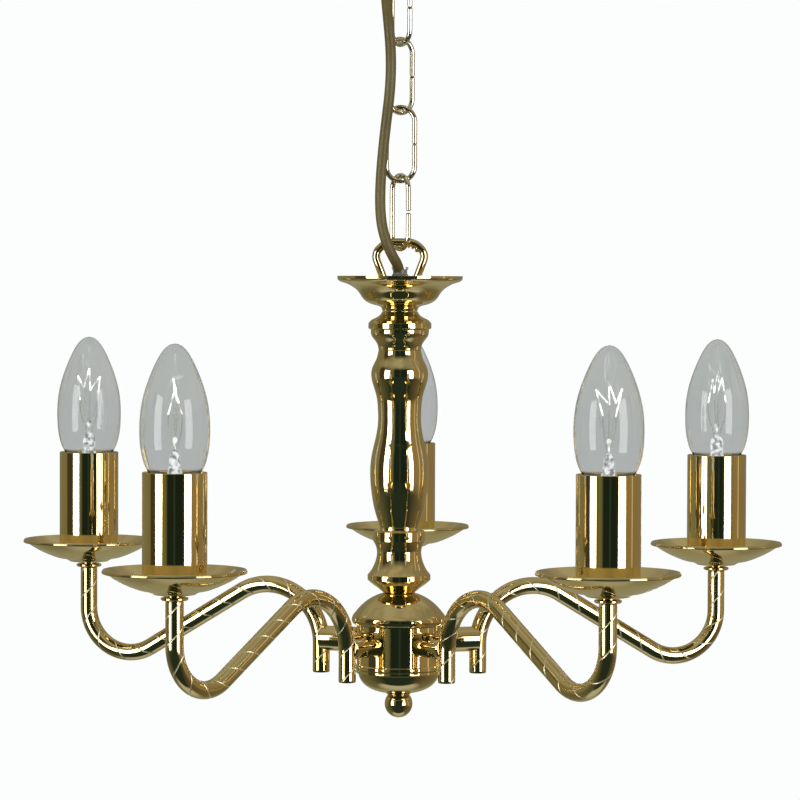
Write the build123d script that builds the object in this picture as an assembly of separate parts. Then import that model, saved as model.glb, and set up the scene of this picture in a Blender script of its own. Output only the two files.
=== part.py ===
from build123d import *
import math
import os

# Five-light brass chandelier with candle lamps, hung on a link chain from a ceiling hook.
# Millimetres, +Z up. The origin is on the ceiling, at the middle of the ceiling plate's top face,
# and the fitting hangs below it. Heights of the fitting itself are given from the plane of the
# drip-pan rims and moved down by RIM_DROP; the ceiling group's heights are measured from the ceiling.

# Driving dimensions
RIM_DROP = 372.0          # from the ceiling down to the plane of the drip-pan rims
ARMS = 5
FIRST_ARM_DEG = 90.0      # one arm points to +Y, the others follow every 72 degrees
ARM_REACH = 182.6         # axis of the column to the axis of a lamp

LINK_WIRE = 2.7
LINK_LENGTH = 42.0
LINK_WIDTH = 18.0
LINK_PLAY = 0.2           # free play where one link rests in the next
LINK_TURNS_DEG = [-54.0, -8.0, 38.0, -50.0, 40.0]   # each link's plane, from the lowest up
LINK_GAPS = [1.1, 0.12, 0.12, 0.12, 0.12]           # saw cut in each link, the lowest is sprung open
LINK_PITCH = LINK_LENGTH - 2 * LINK_WIRE - LINK_PLAY

LOOP_WIRE = 4.2
LOOP_TOP = 164.7          # centre of the loop's wire at its top
FIRST_LINK_FOOT = LOOP_TOP - LOOP_WIRE / 2 - LINK_PLAY - LINK_WIRE

TUBE_D = 9.2              # arm tube
TUBE_WALL = 0.8
INNER_LEG_R = 44.6        # the arm's inner leg, which hangs beside the hub
INNER_LEG_END = -68.0
ARM_PEAK = -21.3          # centre of the tube at the top of its arch
ARM_LOW = -61.7           # centre of the tube at the bottom of its outer bend
OUTER_BEND_R = 24.5
INNER_BEND_R = 30.8
ARM_TOP = -15.2
SPIGOT_D = 13.4
SPIGOT_Z = -49.5
TAIL_R = 4.2              # threaded end of the spigot, inside the hub

HUB_R = 22.6
HUB_TOP = -40.8
HUB_BOTTOM = -64.6
SHELL = 0.9               # thickness of spun brass

ROD_R = 5.0
ROD_BORE = 3.05
ROD_TOP = 141.0
ROD_END = -64.0
BORE_R = ROD_R + 0.05

PAN_R = 36.2
SLEEVE_R = 16.2
SLEEVE_TOP = 48.8
SLEEVE_BOTTOM = -8.8
LAMP_MAX_R = 17.5
LAMP_TIP = 112.5

FLEX_D = 5.6
# Route of the flex, from its terminal block to the cord grip, at the heights of the fitting
FLEX_POINTS = [
    (-17.0, -4.0, 351.0),
    (-17.0, -4.0, 336.0),
    (-14.0, -6.8, 320.0),
    (-9.9, -9.0, 303.0),
    (-6.4, -10.6, 284.0),
    (-4.8, -11.0, 265.0),
    (-5.2, -10.4, 246.0),
    (-7.8, -7.4, 226.0),
    (-9.8, -4.9, 207.0),
    (-10.8, -4.9, 190.0),
    (-10.2, -6.2, 176.0),
    (-7.8, -7.1, 166.0),
    (-4.3, -5.6, 157.8),
    (-1.0, -2.2, 152.2),
    (0.0, 0.0, 146.4),
]
FLEX_END = (0.0, 0.0, 141.6)

os.makedirs("parts", exist_ok=True)


def write(name, shape, drop=RIM_DROP):
    """Saves one sub-part, moved from the fitting's heights to the ceiling's."""
    export_step(Pos(0, 0, -drop) * shape, f"parts/{name}.step")


def at_arm(index, shape):
    """A shape made on the +X side of the column, turned to the place of one arm."""
    return Rot(0, 0, FIRST_ARM_DEG + index * 360.0 / ARMS) * shape


def group(shapes):
    """Alike pieces that share a node, each still a solid of its own."""
    return Compound(children=[s.solid() for s in shapes])


def section(r, z):
    return Vector(r, 0, z)


def lathe(*edges):
    """A turned piece: edges close an outline in the XZ plane, which goes round the Z axis."""
    return revolve(make_face(Curve() + list(edges)), Axis.Z, 360)


def turned(outline, bore):
    """A turned piece with this outside, from its top to its foot, and a straight bore."""
    points = [section(r, z) for r, z in outline]
    top, foot = points[0].Z, points[-1].Z
    ends = Polyline(points[-1], section(bore, foot), section(bore, top), points[0])
    return lathe(Spline(*points), ends)


def offset(outline, thickness):
    """The same outline, moved sideways by the thickness: to the left of its way along."""
    moved = []
    last = len(outline) - 1
    for i, (r, z) in enumerate(outline):
        r0, z0 = outline[max(i - 1, 0)]
        r1, z1 = outline[min(i + 1, last)]
        run = math.hypot(r1 - r0, z1 - z0)
        moved.append((r - (z1 - z0) / run * thickness, z + (r1 - r0) / run * thickness))
    return moved


def spun(outline, thickness):
    """A spun shell: the outline is its outside, and the metal lies to the left of it."""
    outer = [section(r, z) for r, z in outline]
    inner = [section(r, z) for r, z in offset(outline, thickness)]
    return lathe(
        Spline(*outer), Line(outer[-1], inner[-1]), Spline(*reversed(inner)), Line(inner[0], outer[0])
    )


def rod(radius, bottom, top, bore=0.0):
    """An upright cylinder or tube between two heights."""
    piece = Pos(0, 0, (bottom + top) / 2) * Cylinder(radius, top - bottom)
    if bore:
        piece -= Pos(0, 0, (bottom + top) / 2) * Cylinder(bore, top - bottom + 1)
    return piece


def swept(path, diameter):
    """Round stock along a path, from the path's own start."""
    return sweep(Plane(path @ 0, z_dir=path % 0) * Circle(diameter / 2), path=path)


# Ceiling group --------------------------------------------------------------------------------

PLATE_L, PLATE_W, PLATE_T = 98.0, 20.0, 2.5
PLATE_HOLE_R = 2.3
PLATE_HOLES = 70.0
EAR_DROP = 14.0
HOOK_WIRE = 4.0
HOOK_R = 8.0              # middle of the wire in the hook's bowl
HOOK_PLAY = 0.5           # free play where the top link rests in the hook
CUP_R, CUP_DROP = 54.0, 64.0


def ceiling_plate():
    """Strap that the installer screws to the ceiling, with an ear down at each end for the cup."""
    strap = Pos(0, 0, -PLATE_T / 2) * Box(PLATE_L, PLATE_W, PLATE_T)
    for side in (-1, 1):
        strap -= Pos(side * PLATE_HOLES / 2, 0, -PLATE_T / 2) * Cylinder(PLATE_HOLE_R, PLATE_T * 2)
        ear_x = side * (PLATE_L - PLATE_T) / 2
        ear = Pos(ear_x, 0, -EAR_DROP / 2) * Box(PLATE_T, 12, EAR_DROP)
        strap += ear - Pos(ear_x, 0, -8) * Rot(0, 90, 0) * Cylinder(1.6, PLATE_T * 2)
    boss = rod(7, -9, -PLATE_T)
    return strap + boss - rod(2.55, -10, -PLATE_T - 0.5)


def hook_bowl_z():
    """Height of the wire's middle in the hook's bowl, from where the top link rests on it."""
    link_top = FIRST_LINK_FOOT + (len(LINK_GAPS) - 1) * LINK_PITCH + LINK_LENGTH
    return link_top - LINK_WIRE - HOOK_PLAY - HOOK_WIRE / 2 - RIM_DROP


def ceiling_hook():
    """Round-wire hook: a threaded shank on the axis, a step to the side, and a bowl under the axis."""
    bowl = hook_bowl_z()
    path = FilletPolyline(
        (0, 0, -9.0),
        (0, 0, -12.2),
        (HOOK_R, 0, -16.2),
        (HOOK_R, 0, bowl),
        (-HOOK_R, 0, bowl),
        (-HOOK_R, 0, bowl + 9.5),
        radius=[1.9, 2.2, HOOK_R - 1.5, HOOK_R - 1.5],
    )
    wire = swept(path, HOOK_WIRE)
    return wire + rod(2.5, -9.5, -3.1)


def ceiling_cup():
    """Spun cup that covers the plate, with a turned-in mouth for the chain and the flex."""
    outline = [
        (CUP_R, -0.4), (CUP_R, -7), (CUP_R, -14), (CUP_R - 3.5, -30), (CUP_R - 14, -45),
        (CUP_R - 26, -54), (22.2, -58.2), (19.4, -60.8), (18.2, -CUP_DROP),
    ]
    return spun(outline, -SHELL)


def cup_screws():
    """Two screws through the cup into the plate's ears."""
    ear_face = PLATE_L / 2
    head_face = CUP_R + 0.15
    screws = []
    for side in (-1, 1):
        shank = Pos(side * (ear_face - 3.5 + head_face + 0.2) / 2, 0, -8) * Rot(0, 90, 0)
        screw = shank * Cylinder(1.5, head_face + 0.2 - ear_face + 3.5)
        screw += Pos(side * (head_face + 1.0), 0, -8) * Rot(0, 90, 0) * Cylinder(3.6, 2.0)
        screws.append(screw)
    return screws


TERMINAL_L, TERMINAL_W = 14.0, 12.0


def terminal_block():
    """Plastic block under the strap, where the flex meets the house wiring."""
    flex_x, flex_y, flex_top = FLEX_POINTS[0]
    top, foot = -PLATE_T, flex_top - RIM_DROP
    return Pos(flex_x, flex_y, (top + foot) / 2) * Box(TERMINAL_L, TERMINAL_W, top - foot)


write("ceiling_plate", ceiling_plate(), 0)
write("ceiling_hook", ceiling_hook(), 0)
cup_shape = ceiling_cup()
for side in (-1, 1):
    cup_shape -= Pos(side * CUP_R, 0, -8) * Rot(0, 90, 0) * Cylinder(1.6, 8)
write("ceiling_cup", cup_shape, 0)
write("cup_screws", group(cup_screws()), 0)
write("terminal_block", terminal_block(), 0)


# Chain ----------------------------------------------------------------------------------------

def chain_link(foot, turn_deg, gap):
    """Oval link of round wire, cut through at the middle of one straight side."""
    half = (LINK_WIDTH - LINK_WIRE) / 2
    reach = LINK_LENGTH / 2 - LINK_WIDTH / 2
    up = Line((half, 0, gap / 2), (half, 0, reach))
    over = ThreePointArc((half, 0, reach), (0, 0, reach + half), (-half, 0, reach))
    down = Line((-half, 0, reach), (-half, 0, -reach))
    under = ThreePointArc((-half, 0, -reach), (0, 0, -reach - half), (half, 0, -reach))
    back = Line((half, 0, -reach), (half, 0, -gap / 2))
    path = Wire([up.edge(), over.edge(), down.edge(), under.edge(), back.edge()])
    return Pos(0, 0, foot + LINK_LENGTH / 2) * Rot(0, 0, turn_deg) * swept(path, LINK_WIRE)


for number, (turn_deg, gap) in enumerate(zip(LINK_TURNS_DEG, LINK_GAPS), start=1):
    foot = FIRST_LINK_FOOT + (number - 1) * LINK_PITCH
    write(f"chain_link_{number}", chain_link(foot, turn_deg, gap))


# Supply flex ----------------------------------------------------------------------------------

def flex_path():
    """Straight runs joined by arcs, each arc as large as its two runs allow."""
    points = [Vector(*p) for p in [*FLEX_POINTS, FLEX_END]]
    radii = []
    for before, here, after in zip(points, points[1:], points[2:]):
        turn = math.radians((here - before).get_angle(after - here))
        shorter = min((here - before).length, (after - here).length)
        radii.append(0.45 * shorter / math.tan(turn / 2))
    return FilletPolyline(*points, radius=radii), radii


flex_line, flex_radii = flex_path()
flex = swept(flex_line, FLEX_D)
print("flex arcs, mm:", [round(r, 1) for r in flex_radii])
print("flex length, mm:", round(flex_line.length, 1))
print("flex volume over section times length:",
      round(flex.volume / (math.pi * FLEX_D ** 2 / 4 * flex_line.length), 4))
write("supply_flex", flex)


# Column ---------------------------------------------------------------------------------------

DISH = [
    (9.4, 127.8), (9.9, 129.4), (13.4, 131.0), (17.2, 132.4), (19.4, 134.0), (21.0, 136.2),
    (23.0, 138.9), (25.6, 140.9), (28.2, 142.3), (31.6, 143.4), (33.4, 144.7), (33.6, 146.6),
]
UPPER_COLLAR_TOP = [(9.4, 127.7), (10.0, 126.6), (12.5, 124.4), (15.4, 122.9), (16.9, 121.2)]
UPPER_COLLAR_FOOT = [(15.6, 117.9), (15.3, 114.9), (13.1, 111.7), (11.8, 109.2), (11.4, 107.0)]
BALUSTER = [
    (11.4, 107.0), (12.6, 102.0), (14.6, 97.8), (15.3, 93.6), (14.5, 89.0), (12.6, 82.8),
    (11.7, 76.0), (11.7, 66.5), (13.0, 59.0), (14.9, 50.6), (15.7, 40.0), (14.9, 30.0),
    (13.2, 20.8), (11.3, 14.6), (10.5, 12.0),
]
LOWER_COLLAR_WAIST = [(14.1, 4.6), (12.6, 1.8), (11.9, -2.0), (12.9, -7.0), (14.9, -11.2), (16.9, -13.8)]
LOWER_COLLAR_FOOT = [(16.9, -16.4), (15.0, -18.2), (11.8, -20.5), (8.3, -23.4)]
DOME = [
    (22.9, -40.8), (24.7, -39.7), (25.3, -37.2), (23.4, -33.9), (20.6, -30.7),
    (16.4, -27.2), (12.0, -24.8), (8.6, -23.7), (5.4, -23.5),
]
BOTTOM_DISH = [
    (3.2, -77.4), (9.4, -76.9), (13.6, -75.7), (17.4, -73.7), (20.2, -70.8), (21.6, -67.7), (22.1, -65.1),
]
BALL_R, BALL_Z = 7.5, -83.3
BEAD_FOOT, BEAD_TOP = -78.2, -77.5


def loop_wire():
    """Onion-shaped loop of round wire, its two feet on the boss."""
    path = FilletPolyline(
        (5.6, 0, 136.4),
        (13.8, 0, 159.7),
        (5.5, 0, LOOP_TOP),
        (-5.5, 0, LOOP_TOP),
        (-13.8, 0, 159.7),
        (-5.6, 0, 136.4),
        radius=[3.4, 7.0, 7.0, 3.4],
    )
    return swept(path, LOOP_WIRE)


def hanging_loop():
    """Cast loop on a round threaded boss, which clamps the dish to the rod."""
    boss = rod(12.0, 132.2, 137.6)
    inside = rod(BORE_R, 130, 141.5)
    return boss + loop_wire() - inside


def cord_grip():
    """Clear plastic grip on the rod's top, closed round the flex, with two small ears."""
    body = rod(4.6, 141.1, 147.2) + rod(3.9, 147.2, 150.2)
    ears = Pos(0, 0, 150.6) * Box(7.6, 2.4, 1.6)
    return body + ears - flex


def column_rod():
    """Threaded tube through the whole column, with a slot where the wires leave it in the hub."""
    tube = rod(ROD_R, ROD_END, ROD_TOP, ROD_BORE)
    return tube - Pos(ROD_R, 0, -44) * Box(ROD_R * 2, 3.4, 9)


ROD_NUT = 15.0            # across the flats


def hexagon(across, bottom, top, bore):
    nut = extrude(Pos(0, 0, bottom) * RegularPolygon(across / 2, 6, major_radius=False), top - bottom)
    return nut - rod(bore, bottom - 1, top + 1)


def hollow(piece, outer, bottom, top):
    """Takes the core out of a cast piece, round the rod's bore."""
    return piece - rod(outer, bottom, top)


def upper_collar():
    top = [section(r, z) for r, z in UPPER_COLLAR_TOP]
    foot = [section(r, z) for r, z in UPPER_COLLAR_FOOT]
    edge = Polyline(top[-1], section(16.9, 118.5), foot[0])
    ends = Polyline(foot[-1], section(BORE_R, 107.0), section(BORE_R, 127.7), top[0])
    piece = lathe(Spline(*top), edge, Spline(*foot), ends)
    return hollow(piece, 8.6, 110.5, 121.0)


def lower_collar():
    waist = [section(r, z) for r, z in LOWER_COLLAR_WAIST]
    foot = [section(r, z) for r, z in LOWER_COLLAR_FOOT]
    head = Polyline(section(10.5, 12.0), section(10.6, 10.2), section(14.1, 9.6), waist[0])
    lip = Line(waist[-1], foot[0])
    ends = Polyline(foot[-1], section(BORE_R, -23.4), section(BORE_R, 12.0), section(10.5, 12.0))
    piece = lathe(head, Spline(*waist), lip, Spline(*foot), ends)
    return hollow(piece, 9.2, -17.5, 6.5)


def top_dish():
    """Spun dish with an upturned rim; the wider hole in its floor takes the rod."""
    floor = rod(9.3, 127.8, 132.1, BORE_R)
    return spun(DISH, SHELL) + floor


def hub_body():
    """Spun cup that holds the arms: a wall with five holes, open at the top, and a floor."""
    wall = rod(HUB_R, HUB_BOTTOM, HUB_TOP, HUB_R - 1.2)
    floor = rod(HUB_R, HUB_BOTTOM, HUB_BOTTOM + 1.2, BORE_R)
    lip = rod(HUB_R + 0.5, HUB_BOTTOM, HUB_BOTTOM + 2.2, HUB_R - 0.1)
    body = wall + floor + lip
    for i in range(ARMS):
        body -= at_arm(i, Pos(HUB_R, 0, SPIGOT_Z) * Rot(0, 90, 0) * Cylinder(TAIL_R + 0.05, 8))
    return body


def hub_dome():
    """Bell over the hub, rolled in at its rim, with a hole at its crown for the rod."""
    return spun(DOME, SHELL)


def bottom_dish():
    """Shallow bowl under the hub, held up by the finial."""
    rim = rod(22.9, -66.6, HUB_BOTTOM - 0.05, 20.6)
    bowl = spun(BOTTOM_DISH, SHELL)
    return bowl + rim - rod(3.1, -80, -60)


def ball_finial():
    """Ball, flat at its top, with a bead on it and a stud that screws into the rod."""
    ball = Pos(0, 0, BALL_Z) * Sphere(BALL_R) - rod(BALL_R, BEAD_FOOT, BALL_Z + BALL_R + 1)
    bead = rod(6.5, BEAD_FOOT, BEAD_TOP)
    return ball + bead + rod(ROD_BORE - 0.05, BEAD_FOOT, ROD_END + 9)


write("hanging_loop", hanging_loop())
write("cord_grip", cord_grip())
write("centre_rod", column_rod())
write("rod_nuts", group([hexagon(ROD_NUT, foot, foot + 3.5, BORE_R) for foot in (-28.2, -62.9)]))
write("top_dish", top_dish())
write("upper_collar", upper_collar())
write("baluster", hollow(turned(BALUSTER, BORE_R), 8.8, 15.5, 103.5))
write("lower_collar", lower_collar())
write("hub_dome", hub_dome())
write("hub_body", hub_body())
write("bottom_dish", bottom_dish())
write("ball_finial", ball_finial())
write("hub_terminal", rod(12.0, -56.5, -42.5, BORE_R + 0.3))


# Arms -----------------------------------------------------------------------------------------

def arm_line(outer_top, leg_end):
    """Centreline of an arm in the XZ plane: down the outer leg, round the low bend, up the slope,
    over the arch and down the inner leg. The slope is the line that touches both bends."""
    c_out = Vector(ARM_REACH - OUTER_BEND_R, 0, ARM_LOW + OUTER_BEND_R)
    c_in = Vector(INNER_LEG_R + INNER_BEND_R, 0, ARM_PEAK - INNER_BEND_R)
    apart = c_out - c_in
    slope = math.asin((OUTER_BEND_R + INNER_BEND_R) / apart.length) - math.atan2(apart.Z, apart.X)
    normal = Vector(math.sin(slope), 0, math.cos(slope))
    arch_drop = max(leg_end - c_in.Z, 0.0)
    inward = Vector(-math.sqrt(INNER_BEND_R ** 2 - arch_drop ** 2), 0, arch_drop) / INNER_BEND_R
    low_way = (Vector(1, 0, 0) - normal).normalized()
    high_way = (inward + normal).normalized()
    start_bend = c_out + Vector(OUTER_BEND_R, 0, 0)
    end_bend = c_out - normal * OUTER_BEND_R
    start_arch = c_in + normal * INNER_BEND_R
    end_arch = c_in + inward * INNER_BEND_R
    parts = [
        Line((ARM_REACH, 0, outer_top), start_bend),
        ThreePointArc(start_bend, c_out + low_way * OUTER_BEND_R, end_bend),
        Line(end_bend, start_arch),
        ThreePointArc(start_arch, c_in + high_way * INNER_BEND_R, end_arch),
    ]
    if leg_end < end_arch.Z - 0.01:
        parts.append(Line(end_arch, (INNER_LEG_R, 0, leg_end)))
    return [p.edge() for p in parts], slope


def level_bar(radius, start, end, z):
    """A cylinder along X between two distances from the column."""
    return Pos((start + end) / 2, 0, z) * Rot(0, 90, 0) * Cylinder(radius, end - start)


NIPPLE_R, NIPPLE_BORE = 3.0, 2.0
NIPPLE_TOP = -7.0
WIRE_R = 1.3

arm_edges, arm_slope = arm_line(ARM_TOP, INNER_LEG_END)
print("arm slope, degrees:", round(math.degrees(arm_slope), 2))


def arm():
    """Bent tube with a spigot brazed to its inner leg and a threaded tip brazed in its top."""
    tube = swept(Wire(arm_edges), TUBE_D)
    core = swept(Wire(arm_line(ARM_TOP + 0.01, INNER_LEG_END - 0.01)[0]), TUBE_D - 2 * TUBE_WALL)
    spigot = level_bar(SPIGOT_D / 2, HUB_R + 0.02, INNER_LEG_R, SPIGOT_Z)
    tail = level_bar(TAIL_R, 16.5, HUB_R + 1, SPIGOT_Z)
    tip = Pos(ARM_REACH, 0, 0) * rod(NIPPLE_R, ARM_TOP - 5, NIPPLE_TOP)
    plug = Pos(ARM_REACH, 0, 0) * rod(TUBE_D / 2 - 0.1, ARM_TOP - 5, ARM_TOP)
    wire_hole = level_bar(2.4, 16, INNER_LEG_R, SPIGOT_Z)
    body = tube + spigot + tail - core
    body = body - wire_hole + plug + tip
    return body - Pos(ARM_REACH, 0, 0) * rod(NIPPLE_BORE, ARM_TOP - 6, NIPPLE_TOP + 1)


arm_shape = arm()
for i in range(ARMS):
    write(f"arm_{i + 1}", at_arm(i, arm_shape))

# The nuts' corners touch the hub's round wall from inside
ARM_NUT = 14.0
NUT_R0, NUT_R1 = 16.6, 19.6
nut = Rot(0, 90, 0) * hexagon(ARM_NUT, NUT_R0, NUT_R1, TAIL_R + 0.02)
write("arm_nuts", group([at_arm(i, Pos(0, 0, SPIGOT_Z) * nut) for i in range(ARMS)]))


def arm_wire():
    """Twin wire from the lampholder down through the arm and in through the spigot."""
    turn_height = 4.0
    down, _ = arm_line(NIPPLE_TOP + 0.6, SPIGOT_Z + turn_height)
    start, heading = Wire(down) @ 1, Wire(down) % 1
    turn_r = turn_height / (1 + heading.X)
    turn = TangentArc(start, (start.X + turn_r * heading.Z, 0, SPIGOT_Z), tangent=heading)
    inward = Line(turn @ 1, (12.05, 0, SPIGOT_Z))
    return swept(Wire([*down, turn.edge(), inward.edge()]), 2 * WIRE_R)


write("arm_wires", group([at_arm(i, arm_wire()) for i in range(ARMS)]))


# Lamps and their seats ------------------------------------------------------------------------

PAN = [
    (10.4, -12.0), (11.4, -11.3), (16.0, -10.1), (21.0, -8.5), (26.0, -6.3), (30.4, -3.9),
    (33.8, -1.7), (PAN_R - 0.1, -0.2),
]
GLASS_NECK_R, GLASS_NECK_FOOT = 6.1, 36.0
GLASS = [
    (GLASS_NECK_R, 41.2), (7.6, 43.2), (11.4, 46.6), (14.6, 51.4), (16.6, 58.0), (LAMP_MAX_R, 67.5),
    (17.2, 77.4), (15.9, 85.4), (13.7, 92.9), (11.0, 99.8), (7.8, 106.2), (4.6, 110.4), (2.2, 112.0),
    (0.0, LAMP_TIP),
]
GLASS_T = 0.6
CAP_R = 6.9
CAP_FOOT, CAP_TOP = 15.2, 41.0
HOLDER_R = 12.4
HOLDER_FOOT_R = 9.0
HOLDER_BOTTOM, HOLDER_STEP, HOLDER_TOP = -11.0, -8.5, 36.5


def pan_collar():
    """Small bead and washer between the arm and its pan."""
    bead = rod(4.3, -13.0, -12.05)
    washer = rod(6.9, -14.9, -13.0)
    return bead + washer - rod(NIPPLE_R + 0.03, -16, -11) + rod(5.4, ARM_TOP + 0.02, -14.9, NIPPLE_R + 0.03)


def drip_pan():
    """Spun pan with a flat foot and a rolled rim."""
    foot = rod(10.4, -12.0, -11.1, NIPPLE_R + 0.03)
    rim = Pos(0, 0, -0.75) * Torus(PAN_R - 0.75, 0.75)
    return spun(PAN, SHELL) + foot + rim


def lampholder():
    """Plastic holder on the arm's tip, with a narrower foot and a socket for the lamp's cap."""
    body = rod(HOLDER_FOOT_R, HOLDER_BOTTOM, HOLDER_TOP) + rod(HOLDER_R, HOLDER_STEP, HOLDER_TOP)
    socket = rod(CAP_R + 0.25, 13.0, HOLDER_TOP + 1)
    wiring = rod(8.0, -6.0, 11.0)
    return body - socket - wiring - rod(NIPPLE_R + 0.03, -12, -5.5)


def bulb_glass():
    """Thin candle-shaped glass, open at its neck."""
    outer = [section(r, z) for r, z in GLASS]
    inside = offset(GLASS, GLASS_T)[:-1] + [(0.0, LAMP_TIP - GLASS_T)]
    inner = [section(r, z) for r, z in inside]
    neck_out = section(GLASS_NECK_R, GLASS_NECK_FOOT)
    neck_in = section(GLASS_NECK_R - GLASS_T, GLASS_NECK_FOOT)
    neck = Polyline(outer[0], neck_out, neck_in, inner[0])
    return lathe(Spline(*outer), Line(outer[-1], inner[-1]), Spline(*inner), neck)


def bulb_cap():
    """Screw cap: a shell round the neck, closed by a tapered insulator with a contact."""
    shell = rod(CAP_R, 19.0, CAP_TOP) - rod(6.15, 22.0, CAP_TOP + 1)
    foot = Pos(0, 0, 17.4) * Cone(4.0, CAP_R, 3.2)
    return shell + foot + rod(2.4, CAP_FOOT - 0.6, 16.0)


def bulb_filament():
    """Glass stem with its two lead wires and the filament between them."""
    stem = Pos(0, 0, 41) * Cone(4.9, 2.0, 10) + rod(2.0, 45.9, 58.0) + rod(5.0, 34.6, 36.1)
    for side in (-1, 1):
        lead = FilletPolyline(
            (side * 0.9, 0, 56.0), (side * 1.4, 0, 62.0), (side * 6.5, 0, 71.0), (side * 6.5, 0, 74.2), radius=2.0
        )
        stem += swept(lead, 0.7)
    arch = ThreePointArc((-6.5, 0, 74.0), (0, 0, 78.0), (6.5, 0, 74.0))
    return stem + swept(arch, 0.7) + rod(5.0, 36.0, 36.4)


collar, pan, holder = pan_collar(), drip_pan(), lampholder()
sleeve = rod(SLEEVE_R, SLEEVE_BOTTOM, SLEEVE_TOP, SLEEVE_R - SHELL)
lamp_pieces = {"bulb_glass": bulb_glass(), "bulb_cap": bulb_cap(), "bulb_filament": bulb_filament()}


def at_lamp(index, shape):
    return at_arm(index, Pos(ARM_REACH, 0, 0) * shape)


write("pan_collars", group([at_lamp(i, collar) for i in range(ARMS)]))
write("lampholders", group([at_lamp(i, holder) for i in range(ARMS)]))
for i in range(ARMS):
    write(f"drip_pan_{i + 1}", at_lamp(i, pan))
    write(f"candle_tube_{i + 1}", at_lamp(i, sleeve))
    for name, shape in lamp_pieces.items():
        write(f"{name}_{i + 1}", at_lamp(i, shape))
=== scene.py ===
import math
import bmesh
import bpy
import numpy as np
from mathutils import Matrix, Vector


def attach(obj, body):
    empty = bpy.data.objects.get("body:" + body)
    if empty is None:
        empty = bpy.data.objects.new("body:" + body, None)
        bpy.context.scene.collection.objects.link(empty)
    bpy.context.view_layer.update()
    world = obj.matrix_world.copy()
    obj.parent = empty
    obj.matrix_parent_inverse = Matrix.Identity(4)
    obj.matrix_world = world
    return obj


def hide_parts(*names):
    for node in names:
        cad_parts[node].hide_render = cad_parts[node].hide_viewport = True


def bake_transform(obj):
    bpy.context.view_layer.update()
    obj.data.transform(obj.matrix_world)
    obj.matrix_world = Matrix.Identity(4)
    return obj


# Five-arm brass chandelier with candle lamps. Pieces are made in millimetres, at the heights of the
# fitting, from the plane of the drip-pan rims. settle() then puts them in the frame, in metres.

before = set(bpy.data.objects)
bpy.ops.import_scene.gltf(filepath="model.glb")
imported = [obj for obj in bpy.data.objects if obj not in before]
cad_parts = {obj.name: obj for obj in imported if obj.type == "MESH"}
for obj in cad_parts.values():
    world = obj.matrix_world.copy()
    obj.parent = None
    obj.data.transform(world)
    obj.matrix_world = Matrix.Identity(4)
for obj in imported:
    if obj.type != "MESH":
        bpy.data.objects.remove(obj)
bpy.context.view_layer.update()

MM = 0.001
RIM_DROP = 372.0          # from the ceiling down to the plane of the drip-pan rims
ARMS = 5
FIRST_ARM_DEG = 90.0
ARM_REACH = 182.6

LINK_WIRE = 2.7
LINK_LENGTH = 42.0
LINK_WIDTH = 18.0
LINK_PLAY = 0.2
LINK_TURNS_DEG = [-54.0, -8.0, 38.0, -50.0, 40.0]
LINK_GAPS = [1.1, 0.12, 0.12, 0.12, 0.12]
LINK_PITCH = LINK_LENGTH - 2 * LINK_WIRE - LINK_PLAY

LOOP_WIRE = 4.2
LOOP_TOP = 164.7
FIRST_LINK_FOOT = LOOP_TOP - LOOP_WIRE / 2 - LINK_PLAY - LINK_WIRE

FLEX_D = 5.6
FLEX_POINTS = [
    (-17.0, -4.0, 351.0),
    (-17.0, -4.0, 336.0),
    (-13.4, -3.2, 321.0),
    (-9.0, -1.8, 305.5),
    (-6.8, -9.6, 286.0),
    (-4.8, -11.0, 265.0),
    (-5.2, -10.4, 246.0),
    (-7.8, -7.4, 226.0),
    (-9.8, -4.9, 207.0),
    (-10.8, -4.9, 190.0),
    (-10.2, -6.2, 176.0),
    (-7.8, -7.1, 166.0),
    (-4.3, -5.6, 157.8),
    (-1.0, -2.2, 152.2),
    (0.0, 0.0, 146.4),
    (0.0, 0.0, 141.6),
]

SHELL_T = 0.9             # spun metal
BORE_R = 5.05             # of the column's pieces, round the rod

FINE = 144                # facets round the large turned pieces
COARSE = 96
SMALL = 48


# Camera and stage -----------------------------------------------------------------------------

def make_camera():
    """A long lens, level with the lamps and a little to the right of the column."""
    data = bpy.data.cameras.new("camera")
    data.lens = 156.5
    data.sensor_width = 36.0
    data.clip_end = 100.0
    data.dof.use_dof = False
    camera = bpy.data.objects.new("camera", data)
    camera.location = (0.0501, -1.8643, -0.2294)
    camera.rotation_euler = (math.radians(90 - 1.92), math.radians(-0.2), math.radians(1.54))
    bpy.context.scene.collection.objects.link(camera)
    bpy.context.scene.camera = camera


def make_softbox(name, azimuth_deg, width, watts):
    """Tall soft light in front of the fitting, seen as a white strip in the brass."""
    away, height = 1.6, -0.20
    data = bpy.data.lights.new(name, "AREA")
    data.shape = "RECTANGLE"
    data.size = width
    data.size_y = 1.06
    data.energy = watts
    light = bpy.data.objects.new(name, data)
    azimuth = math.radians(azimuth_deg)
    light.location = (away * math.sin(azimuth), -away * math.cos(azimuth), height)
    aim = Vector((0.0, 0.0, height)) - light.location
    light.rotation_euler = aim.to_track_quat("-Z", "Y").to_euler()
    light.visible_camera = False
    light.visible_transmission = False
    bpy.context.scene.collection.objects.link(light)


def make_overhead():
    """Broad light from above for the floor and the dull pieces, not mirrored in the brass."""
    data = bpy.data.lights.new("overhead", "SUN")
    data.energy = 1.9
    data.angle = math.radians(40)
    light = bpy.data.objects.new("overhead", data)
    light.visible_glossy = False
    light.visible_transmission = False
    light.visible_camera = False
    light.rotation_euler = (math.radians(12), math.radians(-9), 0.0)
    bpy.context.scene.collection.objects.link(light)


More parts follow.
